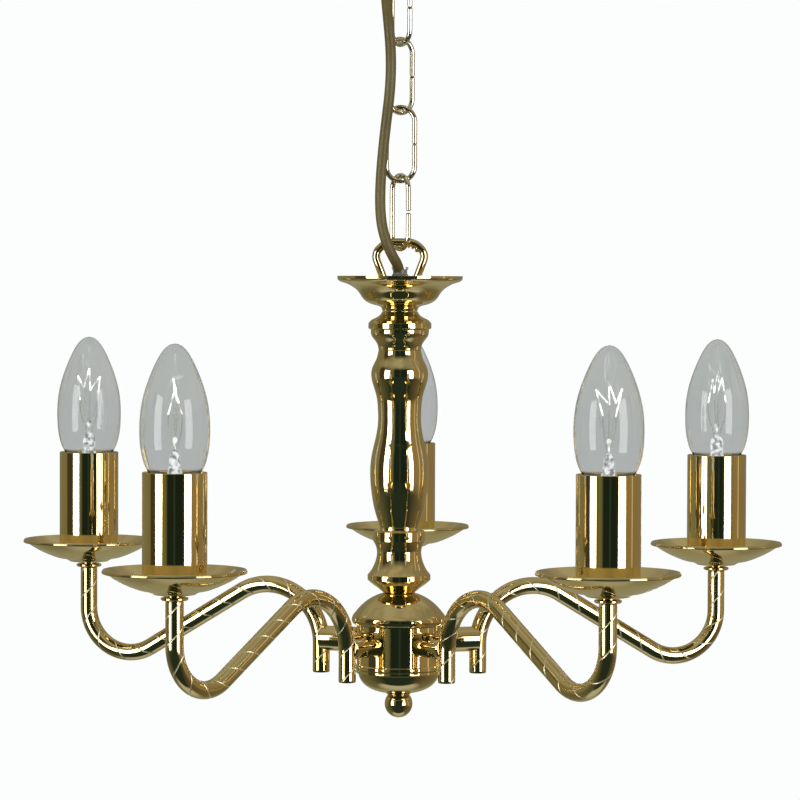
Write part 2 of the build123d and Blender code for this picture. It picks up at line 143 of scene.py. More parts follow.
class Graph:
    """A node tree, with helpers that add nodes and link them."""

    def __init__(self, tree):
        self.nodes, self.links = tree.nodes, tree.links

    def ramp(self, source, stops):
        """The colour at a value, through (position, colour) stops."""
        node = self.nodes.new("ShaderNodeValToRGB")
        elements = node.color_ramp.elements
        while len(elements) > 1:
            elements.remove(elements[-1])
        elements[0].position, elements[0].color = stops[0][0], (*stops[0][1], 1)
        for position, colour in stops[1:]:
            elements.new(position).color = (*colour, 1)
        self.links.new(source, node.inputs[0])
        return node.outputs[0]

    def calc(self, operation, first, second):
        """A value and a second one, which is another output or a number."""
        node = self.nodes.new("ShaderNodeMath")
        node.operation = operation
        self.links.new(first, node.inputs[0])
        if isinstance(second, float):
            node.inputs[1].default_value = second
        else:
            self.links.new(second, node.inputs[1])
        return node.outputs[0]

    def mix(self, share, first, second):
        """A mix of two colours, the second an output or a plain colour."""
        node = self.nodes.new("ShaderNodeMixRGB")
        self.links.new(share, node.inputs["Fac"])
        self.links.new(first, node.inputs["Color1"])
        if isinstance(second, tuple):
            node.inputs["Color2"].default_value = (*second, 1)
        else:
            self.links.new(second, node.inputs["Color2"])
        return node.outputs[0]

    def noise(self, place, scale, detail, stretch=(1, 1, 1)):
        """Noise with that many cycles a metre, drawn out along the axes with less stretch."""
        mapping = self.nodes.new("ShaderNodeMapping")
        mapping.inputs["Scale"].default_value = stretch
        self.links.new(place, mapping.inputs["Vector"])
        node = self.nodes.new("ShaderNodeTexNoise")
        node.inputs["Scale"].default_value = scale
        node.inputs["Detail"].default_value = detail
        self.links.new(mapping.outputs[0], node.inputs["Vector"])
        return node.outputs["Fac"]


# The studio round the fitting: bearing from the camera's side, in degrees, and what stands there
STUDIO_WALLS = [
    (-180, (0.23, 0.22, 0.17)),
    (-130, (0.22, 0.22, 0.14)),
    (-91, (0.20, 0.19, 0.10)),
    (-87, (0.06, 0.05, 0.03)),
    (-66, (0.05, 0.045, 0.03)),
    (-31, (0.17, 0.17, 0.09)),
    (-23, (0.10, 0.11, 0.06)),
    (-20, (0.012, 0.022, 0.018)),
    (0, (0.012, 0.024, 0.022)),
    (4, (0.03, 0.06, 0.045)),
    (8, (0.012, 0.02, 0.018)),
    (32, (0.012, 0.02, 0.018)),
    (66, (0.28, 0.22, 0.12)),
    (87, (0.30, 0.24, 0.13)),
    (90, (0.85, 0.80, 0.62)),
    (93, (0.28, 0.22, 0.12)),
    (140, (0.24, 0.21, 0.14)),
    (180, (0.23, 0.22, 0.17)),
]
# The same bearings at a slant below the fitting, dark in front of it
STUDIO_GROUND = [
    (-180, (0.31, 0.31, 0.22)),
    (-164, (0.30, 0.30, 0.21)),
    (-148, (0.17, 0.17, 0.11)),
    (-105, (0.13, 0.13, 0.08)),
    (-62, (0.05, 0.06, 0.04)),
    (-45, (0.02, 0.035, 0.028)),
    (45, (0.02, 0.035, 0.028)),
    (62, (0.07, 0.06, 0.04)),
    (105, (0.15, 0.13, 0.08)),
    (148, (0.18, 0.17, 0.11)),
    (164, (0.30, 0.30, 0.21)),
    (180, (0.31, 0.31, 0.22)),
]
# Straight below: how far behind the fitting, and what lies there
STUDIO_TABLE = [
    (0.41, (0.02, 0.035, 0.028)), (0.48, (0.50, 0.54, 0.53)), (0.8, (0.42, 0.43, 0.38)),
]
CEILING = (0.36, 0.35, 0.27)
BACKDROP = (0.975, 0.99, 0.985)
BEHIND_GLASS = (0.45, 0.455, 0.455)
BLACK, WHITE = (0, 0, 0), (1, 1, 1)


def make_world():
    """Soft studio surround for the metal, and a plain white backdrop for the eye."""
    world = bpy.data.worlds.new("studio")
    bpy.context.scene.world = world
    world.use_nodes = True
    graph = Graph(world.node_tree)
    nodes, links = graph.nodes, graph.links
    nodes.clear()
    way = nodes.new("ShaderNodeTexCoord").outputs["Generated"]
    split = nodes.new("ShaderNodeSeparateXYZ")
    links.new(way, split.inputs[0])
    east, north, up = split.outputs
    down = graph.calc("MULTIPLY", up, -1.0)
    south = graph.calc("MULTIPLY", north, -1.0)
    bearing = graph.calc("ARCTAN2", east, south)
    turn = graph.calc("ADD", graph.calc("MULTIPLY", bearing, 1 / (2 * math.pi)), 0.5)
    walls, ground = [
        graph.ramp(turn, [((deg + 180) / 360, colour) for deg, colour in stops])
        for stops in (STUDIO_WALLS, STUDIO_GROUND)
    ]
    behind = graph.calc("ADD", graph.calc("MULTIPLY", north, 0.5), 0.5)
    table = graph.ramp(behind, STUDIO_TABLE)
    clouds = nodes.new("ShaderNodeTexNoise")
    clouds.inputs["Scale"].default_value = 2.2
    links.new(way, clouds.inputs["Vector"])
    ceiling = graph.ramp(clouds.outputs["Fac"], [
        (0.36, tuple(0.72 * c for c in CEILING)), (0.62, tuple(1.14 * c for c in CEILING)),
    ])
    is_low = graph.ramp(down, [(0.0, BLACK), (0.16, BLACK), (0.30, WHITE)])
    is_lowest = graph.ramp(down, [(0.80, BLACK), (0.92, WHITE)])
    is_high = graph.ramp(up, [(0.0, BLACK), (0.42, BLACK), (0.72, WHITE)])
    lower = graph.mix(is_lowest, graph.mix(is_low, walls, ground), table)
    room = graph.mix(is_high, lower, ceiling)
    rays = nodes.new("ShaderNodeLightPath")
    through = graph.mix(rays.outputs["Is Transmission Ray"], room, BEHIND_GLASS)
    seen = graph.mix(rays.outputs["Is Camera Ray"], through, BACKDROP)
    background = nodes.new("ShaderNodeBackground")
    links.new(seen, background.inputs["Color"])
    output = nodes.new("ShaderNodeOutputWorld")
    links.new(background.outputs[0], output.inputs["Surface"])


# Materials ------------------------------------------------------------------------------------

def finish(name, skin, colour, rough, bump=None, painted_glow=None):
    """A material whose sockets are fed from noise in the piece's own space, each given as (scale,
    detail, stretch). colour is a noise and its stops, rough a noise and its least and most, bump a
    noise, its strength and its depth in metres, and the last a noise, its stops and its strength
    for an emission in patches, which is painted glints and painted light."""
    material = bpy.data.materials.new(name)
    material.use_nodes = True
    graph = Graph(material.node_tree)
    sockets = graph.nodes["Principled BSDF"].inputs
    place = graph.nodes.new("ShaderNodeTexCoord").outputs["Object"]
    for socket, value in skin.items():
        sockets[socket].default_value = value
    noise, stops = colour
    graph.links.new(graph.ramp(graph.noise(place, *noise), stops), sockets["Base Color"])
    noise, least, most = rough
    spread = graph.nodes.new("ShaderNodeMapRange")
    limits = {"From Min": 0.3, "From Max": 0.7, "To Min": least, "To Max": most}
    for socket, value in limits.items():
        spread.inputs[socket].default_value = value
    graph.links.new(graph.noise(place, *noise), spread.inputs["Value"])
    graph.links.new(spread.outputs[0], sockets["Roughness"])
    if bump:
        noise, strength, depth = bump
        node = graph.nodes.new("ShaderNodeBump")
        node.inputs["Strength"].default_value = strength
        node.inputs["Distance"].default_value = depth
        graph.links.new(graph.noise(place, *noise), node.inputs["Height"])
        graph.links.new(node.outputs[0], sockets["Normal"])
    # Emission in noise patches: painted glints and painted light
    if painted_glow:
        noise, stops, strength = painted_glow
        graph.links.new(graph.ramp(graph.noise(place, *noise), stops), sockets["Emission Color"])
        sockets["Emission Strength"].default_value = strength
    return material


METAL = {"Metallic": 1.0}
LACQUERED = {"Metallic": 1.0, "Coat Weight": 0.12, "Coat Roughness": 0.02, "Coat IOR": 1.5}

FINISHES = {
    # Spun and polished brass under clear lacquer, with the faint waviness that polishing leaves
    "polished_brass": (
        LACQUERED,
        ((26, 4), [(0.32, (0.82, 0.64, 0.31)), (0.7, (0.86, 0.70, 0.37))]),
        ((180, 5), 0.035, 0.085),
        ((55, 2, (1, 1, 2.4)), 0.10, 0.0012),
    ),
    # Drawn brass tube: as bright as the spun pieces, with draw lines along it
    "tube_brass": (
        LACQUERED,
        ((40, 4), [(0.3, (0.81, 0.62, 0.29)), (0.7, (0.86, 0.69, 0.36))]),
        ((260, 4, (1, 1, 0.08)), 0.03, 0.085),
        ((420, 3, (1, 1, 0.03)), 0.05, 0.0004),
    ),
    # Cut brass in the spiral, less smooth than the tube; its paler colour is a painted highlight,
    # where the grooves catch the light
    "engraved_brass_painted_highlight": (
        METAL,
        # paler colour: painted highlight in the grooves
        ((300, 3), [(0.3, (0.88, 0.79, 0.52)), (0.7, (0.93, 0.86, 0.64))]),
        ((800, 3), 0.38, 0.55),
        ((1500, 2), 0.15, 0.0002),
    ),
    # Pale brass-plated wire, wiped bright
    "chain_brass": (
        {"Metallic": 1.0, "Coat Weight": 0.5, "Coat Roughness": 0.04, "Coat IOR": 1.5},
        ((90, 4), [(0.3, (0.84, 0.77, 0.62)), (0.7, (0.92, 0.87, 0.76))]),
        ((600, 4, (1, 1, 0.3)), 0.05, 0.14),
        ((300, 2, (1, 1, 0.2)), 0.05, 0.0002),
    ),
    # Blown lamp glass, a little uneven
    "clear_glass": (
        {"Transmission Weight": 1.0, "IOR": 1.47, "Specular IOR Level": 0.5},
        ((30, 2), [(0.3, (0.96, 0.985, 0.98)), (0.7, (0.985, 1.0, 0.995))]),
        ((40, 3), 0.03, 0.075),
        ((60, 2), 0.16, 0.0008),
    ),
    # Pressed glass of the lamp's stem, full of small ripples, with painted light: white patches in
    # its colour, and emission in the same patches for painted glints
    "mount_glass": (
        {"Transmission Weight": 0.3, "IOR": 1.55, "Coat Weight": 1.0, "Coat Roughness": 0.03},
        # white patches: painted light on the stem
        ((420, 3), [(0.38, (0.45, 0.46, 0.48)), (0.6, (1.0, 1.0, 1.0))]),
        ((500, 3), 0.02, 0.14),
        ((800, 2), 0.9, 0.0012),
        # emission in the same patches: painted glints
        ((420, 3), [(0.40, (0.0, 0.0, 0.0)), (0.62, (0.55, 0.56, 0.56))], 1.0),
    ),
    # Nickel leads and the filament's thin supports
    "lamp_wire": (
        METAL,
        ((800, 2), [(0.3, (0.66, 0.65, 0.62)), (0.7, (0.86, 0.85, 0.82))]),
        ((1500, 3), 0.2, 0.35),
    ),
    # Coiled tungsten, with painted glints: emission in white patches along the coil
    "filament_tungsten": (
        METAL,
        ((900, 2), [(0.3, (0.80, 0.79, 0.76)), (0.7, (0.94, 0.93, 0.90))]),
        ((1500, 3), 0.25, 0.4),
        None,
        # emission in patches: painted glints
        ((240, 2), [(0.40, (0.05, 0.05, 0.05)), (0.62, (1.0, 0.98, 0.95))], 3.2),
    ),
    # Rolled screw cap, nickel over brass, dull in patches
    "lamp_cap_nickel": (
        METAL,
        ((160, 5), [(0.3, (0.62, 0.58, 0.50)), (0.7, (0.80, 0.77, 0.70))]),
        ((400, 4), 0.16, 0.34),
        ((900, 3), 0.12, 0.0003),
    ),
    # Zinc-plated steel, cloudy, with fine scratches
    "plated_steel": (
        METAL,
        ((70, 6), [(0.3, (0.55, 0.55, 0.54)), (0.7, (0.74, 0.73, 0.70))]),
        ((240, 5, (0.2, 1, 1)), 0.24, 0.46),
        ((700, 4, (0.1, 1, 1)), 0.15, 0.0003),
    ),
    # Moulded thermoset, off-white, with a fine satin grain
    "white_plastic": (
        {"Coat Weight": 0.1, "Coat Roughness": 0.3},
        ((60, 4), [(0.3, (0.78, 0.76, 0.70)), (0.7, (0.85, 0.83, 0.78))]),
        ((500, 4), 0.34, 0.5),
        ((1600, 3), 0.15, 0.0003),
    ),
    # Clear moulded plastic of the cord grip, frosted by use
    "clear_grip_plastic": (
        {"Transmission Weight": 0.8, "IOR": 1.49},
        ((200, 3), [(0.3, (0.66, 0.70, 0.70)), (0.7, (0.84, 0.88, 0.88))]),
        ((350, 4), 0.18, 0.36),
        ((700, 3), 0.2, 0.0004),
    ),
    # Soft olive-brown sheath with the faint lay of the cores under it
    "flex_pvc": (
        {"Coat Weight": 0.05, "Coat Roughness": 0.3, "Specular IOR Level": 0.38},
        ((110, 5, (1, 1, 0.25)), [
            (0.3, (0.096, 0.074, 0.025)),
            (0.5, (0.124, 0.098, 0.034)),
            (0.72, (0.158, 0.128, 0.050)),
        ]),
        ((420, 4), 0.34, 0.52),
        ((260, 4, (1, 1, 0.3)), 0.25, 0.0004),
    ),
    # Thin insulation of the inner wires
    "wire_pvc": (
        {},
        ((120, 3), [(0.3, (0.70, 0.68, 0.62)), (0.7, (0.80, 0.78, 0.72))]),
        ((500, 3), 0.35, 0.5),
        ((900, 3), 0.1, 0.0002),
    ),
    # Plain matt floor, far below
    "pale_floor": (
        {},
        ((2, 3), [(0.3, (0.80, 0.78, 0.72)), (0.7, (0.83, 0.81, 0.75))]),
        ((4, 3), 0.7, 0.85),
    ),
}
MATERIALS = {name: finish(name, *recipe) for name, recipe in FINISHES.items()}


# Meshes ---------------------------------------------------------------------------------------

def smooth_run(points, steps=7):
    """Points along the natural cubic spline through the given ones."""
    p = np.array(points, float)
    count = len(p)
    gaps = np.linalg.norm(np.diff(p, axis=0), axis=1)
    system = np.eye(count)
    right = np.zeros_like(p)
    for i in range(1, count - 1):
        system[i, i - 1:i + 2] = gaps[i - 1], 2 * (gaps[i - 1] + gaps[i]), gaps[i]
        right[i] = 6 * ((p[i + 1] - p[i]) / gaps[i] - (p[i] - p[i - 1]) / gaps[i - 1])
    bend = np.linalg.solve(system, right)
    out = []
    for i, gap in enumerate(gaps):
        for s in np.linspace(0, gap, steps, endpoint=False):
            rest = gap - s
            point = (bend[i] * rest ** 3 + bend[i + 1] * s ** 3) / (6 * gap)
            point = point + (p[i] / gap - bend[i] * gap / 6) * rest
            out.append(point + (p[i + 1] / gap - bend[i + 1] * gap / 6) * s)
    return [tuple(q) for q in out] + [tuple(p[-1])]


def inset(outline, thickness):
    """The outline moved to the left of its way along, as the other face of a shell."""
    moved = []
    last = len(outline) - 1
    for i, (r, z) in enumerate(outline):
        r0, z0 = outline[max(i - 1, 0)]
        r1, z1 = outline[min(i + 1, last)]
        run = math.hypot(r1 - r0, z1 - z0)
        moved.append((max(r - (z1 - z0) / run * thickness, 0.0), z + (r1 - r0) / run * thickness))
    return moved


LEAST_TURN = math.radians(24)   # a gentler corner stays as it is
EASED_SHARE = 0.45              # of a side, that the rounding of its corner may take


def eased(outline, radius=0.3):
    """A closed outline with its sharp corners rounded, as polishing leaves them."""
    points = [np.array(p, float) for p in outline]
    result = []
    for before, here, after in zip(points[-1:] + points[:-1], points, points[1:] + points[:1]):
        back, ahead = before - here, after - here
        back_len, ahead_len = np.linalg.norm(back), np.linalg.norm(ahead)
        if here[0] < 1e-6 or min(back_len, ahead_len) < 1e-6:
            result.append(tuple(here))
            continue
        cosine = np.clip(np.dot(back, ahead) / (back_len * ahead_len), -1, 1)
        turn = math.pi - math.acos(cosine)
        if turn < LEAST_TURN:
            result.append(tuple(here))
            continue
        longest = min(back_len, ahead_len) * EASED_SHARE
        reach = min(radius * math.tan(turn / 2), longest)
        start, end = here + back / back_len * reach, here + ahead / ahead_len * reach
        for t in np.linspace(0, 1, 5):
            result.append(tuple((1 - t) ** 2 * start + 2 * t * (1 - t) * here + t ** 2 * end))
    return result


def rings_mesh(rings, closed):
    """Quads between rings of points; a ring of one point is a pole."""
    turns = max(len(row) for row in rings)
    verts, numbers = [], []
    for row in rings:
        start = len(verts)
        verts += row
        numbers.append([start] * turns if len(row) == 1 else list(range(start, start + turns)))
    faces = []
    following = numbers[1:] + numbers[:1] if closed else numbers[1:]
    for low, high in zip(numbers, following):
        for k in range(turns):
            j = (k + 1) % turns
            face = list(dict.fromkeys((low[k], low[j], high[j], high[k])))
            if len(face) > 2:
                faces.append(face)
    return verts, faces


def ring(r, z, turns, flatness=1.0):
    """Points round the Z axis, or the one point on it."""
    if r < 1e-6:
        return [(0.0, 0.0, z)]
    angles = [2 * math.pi * k / turns for k in range(turns)]
    return [(r * math.cos(a), r * flatness * math.sin(a), z) for a in angles]


def lathe(outline, turns=FINE):
    """A closed outline of (radius, height) turned round the Z axis."""
    return rings_mesh([ring(r, z, turns) for r, z in outline], closed=True)


def shell(outline, radius=0.3):
    """A spun shell: its outside is the outline, and the metal lies to the left of it."""
    inner = inset(outline, SHELL_T)
    return lathe(eased(outline + inner[::-1], radius))


def sweep(path, section_at, side=(0, 1, 0)):
    """Sections along a path. section_at(i) gives the (sideways, upward) points of section i."""
    path = [Vector(p) for p in path]
    last = len(path) - 1
    rings = []
    side = Vector(side)
    for i, here in enumerate(path):
        ahead = (path[min(i + 1, last)] - path[max(i - 1, 0)]).normalized()
        side = (side - ahead * side.dot(ahead)).normalized()
        up = ahead.cross(side)
        rings.append([tuple(here + side * u + up * v) for u, v in section_at(i)])
    verts, faces = rings_mesh(rings, closed=False)
    turns = len(rings[0])
    return verts, faces + [list(range(turns)), list(range(len(verts) - turns, len(verts)))]


def circle(radius, count):
    """Points of a round section."""
    return [(x, y) for x, y, _ in ring(radius, 0.0, count)]


def run_lengths(path):
    """The distance along a path at each of its points."""
    return np.concatenate([[0], np.cumsum([math.dist(a, b) for a, b in zip(path, path[1:])])])


def rounded_ends(path, radius, ease):
    """Radii along a wire whose cut ends are slightly rounded."""
    lengths = run_lengths(path)
    radii = []
    for s in lengths:
        near = min(s, lengths[-1] - s)
        lost = ease - math.sqrt(max(ease ** 2 - max(ease - near, 0) ** 2, 0))
        radii.append(radius - lost)
    return radii


def wire(path, diameter, ease, count=28):
    """Round stock along a path."""
    radii = rounded_ends(path, diameter / 2, ease)
    return sweep(path, lambda i: circle(radii[i], count))


def arc(centre, radius, start_deg, end_deg, step_mm):
    """Points (x, z) on an arc, its ends included."""
    sweep_len = abs(math.radians(end_deg - start_deg)) * radius
    angles = np.radians(np.linspace(start_deg, end_deg, max(int(sweep_len / step_mm), 4) + 1))
    return [(centre[0] + radius * math.cos(a), centre[1] + radius * math.sin(a)) for a in angles]


def straight(start, end, step_mm):
    """Points between two, without the ends."""
    start, end = np.array(start, float), np.array(end, float)
    count = max(int(np.linalg.norm(end - start) / step_mm), 2)
    return [tuple(start + (end - start) * k / count) for k in range(1, count)]


def filleted(corners, radii):
    """A path of straight runs with a round at each inner corner."""
    curve_step, straight_step = 0.5, 1.0
    points = [np.array(c, float) for c in corners]
    path = [tuple(points[0])]
    for before, here, after, radius in zip(points, points[1:], points[2:], radii):
        back, ahead = before - here, after - here
        back, ahead = back / np.linalg.norm(back), ahead / np.linalg.norm(ahead)
        half = math.acos(np.clip(np.dot(back, ahead), -1, 1)) / 2
        reach = radius / math.tan(half)
        middle = (back + ahead) / np.linalg.norm(back + ahead)
        centre = here + middle * (radius / math.sin(half))
        first, last = here + back * reach - centre, here + ahead * reach - centre
        spread = math.pi - 2 * half
        count = max(int(spread * radius / curve_step), 4)
        path += straight(path[-1], here + back * reach, straight_step)
        for k in range(count + 1):
            t = spread * k / count
            arm = first * math.sin(spread - t) + last * math.sin(t)
            path.append(tuple(centre + arm / math.sin(spread)))
    return path + straight(path[-1], points[-1], straight_step) + [tuple(points[-1])]


SHARP_ANGLE = math.radians(45)


def settle(name, meshes, material, place=Matrix.Identity(4), marked=()):
    """One object of these meshes, moved from the fitting's heights into the frame. The marked faces
    of the first mesh get the engraved finish."""
    verts, faces = [], []
    for more_verts, more_faces in meshes:
        start = len(verts)
        verts += more_verts
        faces += [[start + i for i in face] for face in more_faces]
    mesh = bpy.data.meshes.new(name)
    mesh.from_pydata([tuple(v) for v in verts], [], faces)
    mesh.transform(Matrix.Scale(MM, 4) @ Matrix.Translation((0, 0, -RIM_DROP)) @ place)
    cleaner = bmesh.new()
    cleaner.from_mesh(mesh)
    bmesh.ops.recalc_face_normals(cleaner, faces=cleaner.faces)
    cleaner.to_mesh(mesh)
    cleaner.free()
    mesh.shade_smooth()
    mesh.set_sharp_from_angle(angle=SHARP_ANGLE)
    mesh.materials.append(MATERIALS[material])
    if marked:
        # groove faces: paler brass, a painted highlight
        mesh.materials.append(MATERIALS["engraved_brass_painted_highlight"])
    for number in marked:
        mesh.polygons[number].material_index = 1
    piece = bpy.data.objects.new(name, mesh)
    bpy.context.scene.collection.objects.link(piece)
    return piece


def add(name, meshes, node, body="fixture", material="polished_brass",
        place=Matrix.Identity(4), marked=()):
    """A settled piece that rides on a body and stands for a node. Its slot has the material's name."""
    piece = settle(name, meshes, material, place, marked)
    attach(piece, body)
    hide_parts(node)


def at_arm(index):
    """From the column to the bearing of an arm."""
    return Matrix.Rotation(math.radians(FIRST_ARM_DEG + index * 360.0 / ARMS), 4, "Z")


def at_lamp(index):
    """From the column to the axis of an arm's lamp."""
    return at_arm(index) @ Matrix.Translation((ARM_REACH, 0, 0))


# Flex -----------------------------------------------------------------------------------------

FLEX_SIDES = 40
FLEX_BODIES = ["ceiling_mount", "link_5", "link_4", "link_3", "link_2", "link_1", "fixture"]


def flex_centreline():
    """Points in metres along the flex, read from a NURBS curve on its route."""
    curve = bpy.data.curves.new("flex_route", "CURVE")
    curve.dimensions = "3D"
    curve.resolution_u = 24
    spline = curve.splines.new("NURBS")
    spline.points.add(len(FLEX_POINTS) - 1)
    for point, (x, y, z) in zip(spline.points, FLEX_POINTS):
        point.co = (x * MM, y * MM, (z - RIM_DROP) * MM, 1.0)
    spline.order_u = 3
    spline.use_endpoint_u = True
    holder = bpy.data.objects.new("flex_route", curve)
    bpy.context.scene.collection.objects.link(holder)
    bpy.context.view_layer.update()
    mesh = bpy.data.meshes.new_from_object(holder)
    points = [v.co.copy() for v in mesh.vertices]
    bpy.data.objects.remove(holder)
    bpy.data.curves.remove(curve)
    bpy.data.meshes.remove(mesh)
    return points


def cut_equal(points, pieces):
    """The line cut into stretches of the same length, each a list of points."""
    lengths = run_lengths(points)
    coords = np.array([tuple(p) for p in points])
    total, least = lengths[-1], 1e-5
    stretches = []
    for k in range(pieces):
        start, end = total * k / pieces, total * (k + 1) / pieces
        inner = lengths[(lengths > start + least) & (lengths < end - least)]
        stops = np.concatenate([[start], inner, [end]])
        line = np.stack([np.interp(stops, lengths, coords[:, axis]) for axis in range(3)], axis=1)
        stretches.append([Vector(p) for p in line])
    return stretches, total / pieces


def make_flex():
    """The flex in six stretches of equal length, as many as the hinges of the chain."""
    stretches, length = cut_equal(flex_centreline(), len(FLEX_BODIES) - 1)
    for number, line in enumerate(stretches, start=1):
        path = [(p.x / MM, p.y / MM, p.z / MM + RIM_DROP) for p in line]
        tube = sweep(path, lambda i: circle(FLEX_D / 2, FLEX_SIDES))
        piece = settle(f"supply_flex_{number}", [tube], "flex_pvc")
        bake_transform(piece)
        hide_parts("supply_flex")


# Ceiling group --------------------------------------------------------------------------------

HOOK_WIRE, HOOK_R, HOOK_PLAY = 4.0, 8.0, 0.5
HOOK_BEND_R = HOOK_R - 1.5
CUP_R, CUP_DROP = 54.0, 64.0


def ceiling_hook():
    """Round-wire hook with a threaded shank."""
    link_top = FIRST_LINK_FOOT + (len(LINK_GAPS) - 1) * LINK_PITCH + LINK_LENGTH
    bowl = link_top - LINK_WIRE - HOOK_PLAY - HOOK_WIRE / 2
    top = RIM_DROP
    path = filleted(
        [(0, 0, top - 9.0), (0, 0, top - 12.2), (HOOK_R, 0, top - 16.2), (HOOK_R, 0, bowl),
         (-HOOK_R, 0, bowl), (-HOOK_R, 0, bowl + 9.5)],
        [1.9, 2.2, HOOK_BEND_R, HOOK_BEND_R],
    )
    hook = wire(path, HOOK_WIRE, ease=0.9)
    shank = [(0, top - 3.2), (2.5, top - 3.2), (2.5, top - 9.5), (0, top - 9.5)]
    shank = lathe(eased(shank), SMALL)
    add("ceiling_hook_wire", [hook, shank], "ceiling_hook", "ceiling_mount", "chain_brass")


def ceiling_cup():
    """Spun cup with a turned-in mouth and a bead round it."""
    top = RIM_DROP
    side = smooth_run([
        (CUP_R, top - 0.4), (CUP_R, top - 7), (CUP_R, top - 14), (CUP_R - 3.5, top - 30),
        (CUP_R - 14, top - 45), (CUP_R - 26, top - 54), (22.2, top - 58.2), (19.4, top - 60.8),
        (18.2, top - CUP_DROP),
    ])
    inner = inset(side, -SHELL_T)
    bead = lathe(eased([
        (18.0, top - 63.9), (18.9, top - 63.3), (19.7, top - 63.9), (19.5, top - 64.9),
        (18.5, top - 65.2), (17.9, top - 64.6)], 0.25))
    cup = lathe(eased(side + inner[::-1]))
    add("ceiling_cup_shell", [cup, bead], "ceiling_cup", "ceiling_mount")


def cup_screws():
    """Two domed screws with a driver slot."""
    slot_width, slot_depth, slot_from = 0.9, 0.7, 1.0
    meshes = []
    for side in (0, 180):
        head = smooth_run([(3.6, 0.2), (3.3, 1.2), (2.0, 1.9), (0.0, 2.1)])
        outline = eased([(0, -4.0), (1.5, -4.0), (1.5, 0.0), (3.6, 0.0)] + head, 0.15)
        verts, faces = lathe(outline, SMALL)
        slotted = [(x, y, z - slot_depth if abs(y) < slot_width / 2 and z > slot_from else z)
                   for x, y, z in verts]
        place = (Matrix.Rotation(math.radians(side), 4, "Z")
                 @ Matrix.Translation((CUP_R + 0.15, 0, RIM_DROP - 8.0))
                 @ Matrix.Rotation(math.radians(90), 4, "Y"))
        meshes.append(([tuple(place @ Vector(v)) for v in slotted], faces))
    add("cup_screw_pair", meshes, "cup_screws", "ceiling_mount")


# Chain ----------------------------------------------------------------------------------------

def chain_link(number, turn_deg, gap):
    """Oval link of round wire, saw-cut in one straight side."""
    half = (LINK_WIDTH - LINK_WIRE) / 2
    reach = LINK_LENGTH / 2 - LINK_WIDTH / 2
    curve_step, straight_step = 0.5, 0.9
    over = arc((0, reach), half, 0, 180, curve_step)
    under = arc((0, -reach), half, 180, 360, curve_step)
    plane = [(half, gap / 2)] + straight((half, gap / 2), (half, reach), straight_step) + over
    plane += straight((-half, reach), (-half, -reach), straight_step) + under
    plane += straight((half, -reach), (half, -gap / 2), straight_step) + [(half, -gap / 2)]
    foot = FIRST_LINK_FOOT + (number - 1) * LINK_PITCH
    link = wire([(x, 0, z) for x, z in plane], LINK_WIRE, ease=0.25)
    place = Matrix.Translation((0, 0, foot + LINK_LENGTH / 2))
    place = place @ Matrix.Rotation(math.radians(turn_deg), 4, "Z")
    add(f"link_{number}_wire", [link], f"chain_link_{number}", f"link_{number}", "chain_brass",
        place=place)


# Column ---------------------------------------------------------------------------------------

DISH = [
    (9.4, 127.8), (9.9, 129.4), (13.4, 131.0), (17.2, 132.4), (19.4, 134.0), (21.0, 136.2),
    (23.0, 138.9), (25.6, 140.9), (28.2, 142.3), (31.6, 143.4), (33.4, 144.7), (33.6, 146.6),
]
UPPER_COLLAR_TOP = [(9.4, 127.7), (10.0, 126.6), (12.5, 124.4), (15.4, 122.9), (16.9, 121.2)]
UPPER_COLLAR_FOOT = [(15.6, 117.9), (15.3, 114.9), (13.1, 111.7), (11.8, 109.2), (11.4, 107.0)]
BALUSTER = [
    (11.4, 107.0), (12.6, 102.0), (14.6, 97.8), (15.3, 93.6), (14.5, 89.0), (12.6, 82.8),
    (11.7, 76.0), (11.7, 66.5), (13.0, 59.0), (14.9, 50.6), (15.7, 40.0), (14.9, 30.0),
    (13.2, 20.8), (11.3, 14.6), (10.5, 12.0),
]
LOWER_COLLAR_WAIST = [
    (14.1, 4.6), (12.6, 1.8), (11.9, -2.0), (12.9, -7.0), (14.9, -11.2), (16.9, -13.8),
]
LOWER_COLLAR_FOOT = [(16.9, -16.4), (15.0, -18.2), (11.8, -20.5), (8.3, -23.4)]
DOME = [
    (22.9, -40.8), (24.7, -39.7), (25.3, -37.2), (23.4, -33.9), (20.6, -30.7),
    (16.4, -27.2), (12.0, -24.8), (8.6, -23.7), (5.4, -23.5),
]
BOTTOM_DISH = [
    (3.2, -77.4), (9.4, -76.9), (13.6, -75.7), (17.4, -73.7), (20.2, -70.8), (21.6, -67.7),
    (22.1, -65.1),
]


def loop_path():
    """Centreline of the loop's wire, from one foot over the top to the other."""
    side = [(5.6, 136.4), (13.9, 158.7), (7.4, LOOP_TOP)]
    corners = side + [(-x, z) for x, z in reversed(side)]
    return filleted([(x, 0, z) for x, z in corners], [6.0, 8.5, 8.5, 6.0])


def hanging_loop():
    """Loop of round wire on its boss, with cast ripples under one shoulder."""
    path = loop_path()
    ripple_start, ripple_end, ripple_pitch, ripple_depth = 3.6, 11.9, 2.75, 0.6
    ripple_foot = 159.0

    def section_at(i):
        x, _, z = path[i]
        points = circle(LOOP_WIRE / 2, 36)
        if not (ripple_start < x < ripple_end and z > ripple_foot):
            return points
        wave = 0.5 - 0.5 * math.cos(2 * math.pi * (x - ripple_start) / ripple_pitch)
        return [(u, v * (1 + ripple_depth * wave) if v > 0 else v) for u, v in points]

    boss = lathe(eased([
        (BORE_R, 132.2), (11.2, 132.2), (12.0, 133.0), (12.0, 136.4), (10.9, 137.6),
        (BORE_R, 137.6)], 0.5))
    add("hanging_loop_wire", [sweep(path, section_at), boss], "hanging_loop")


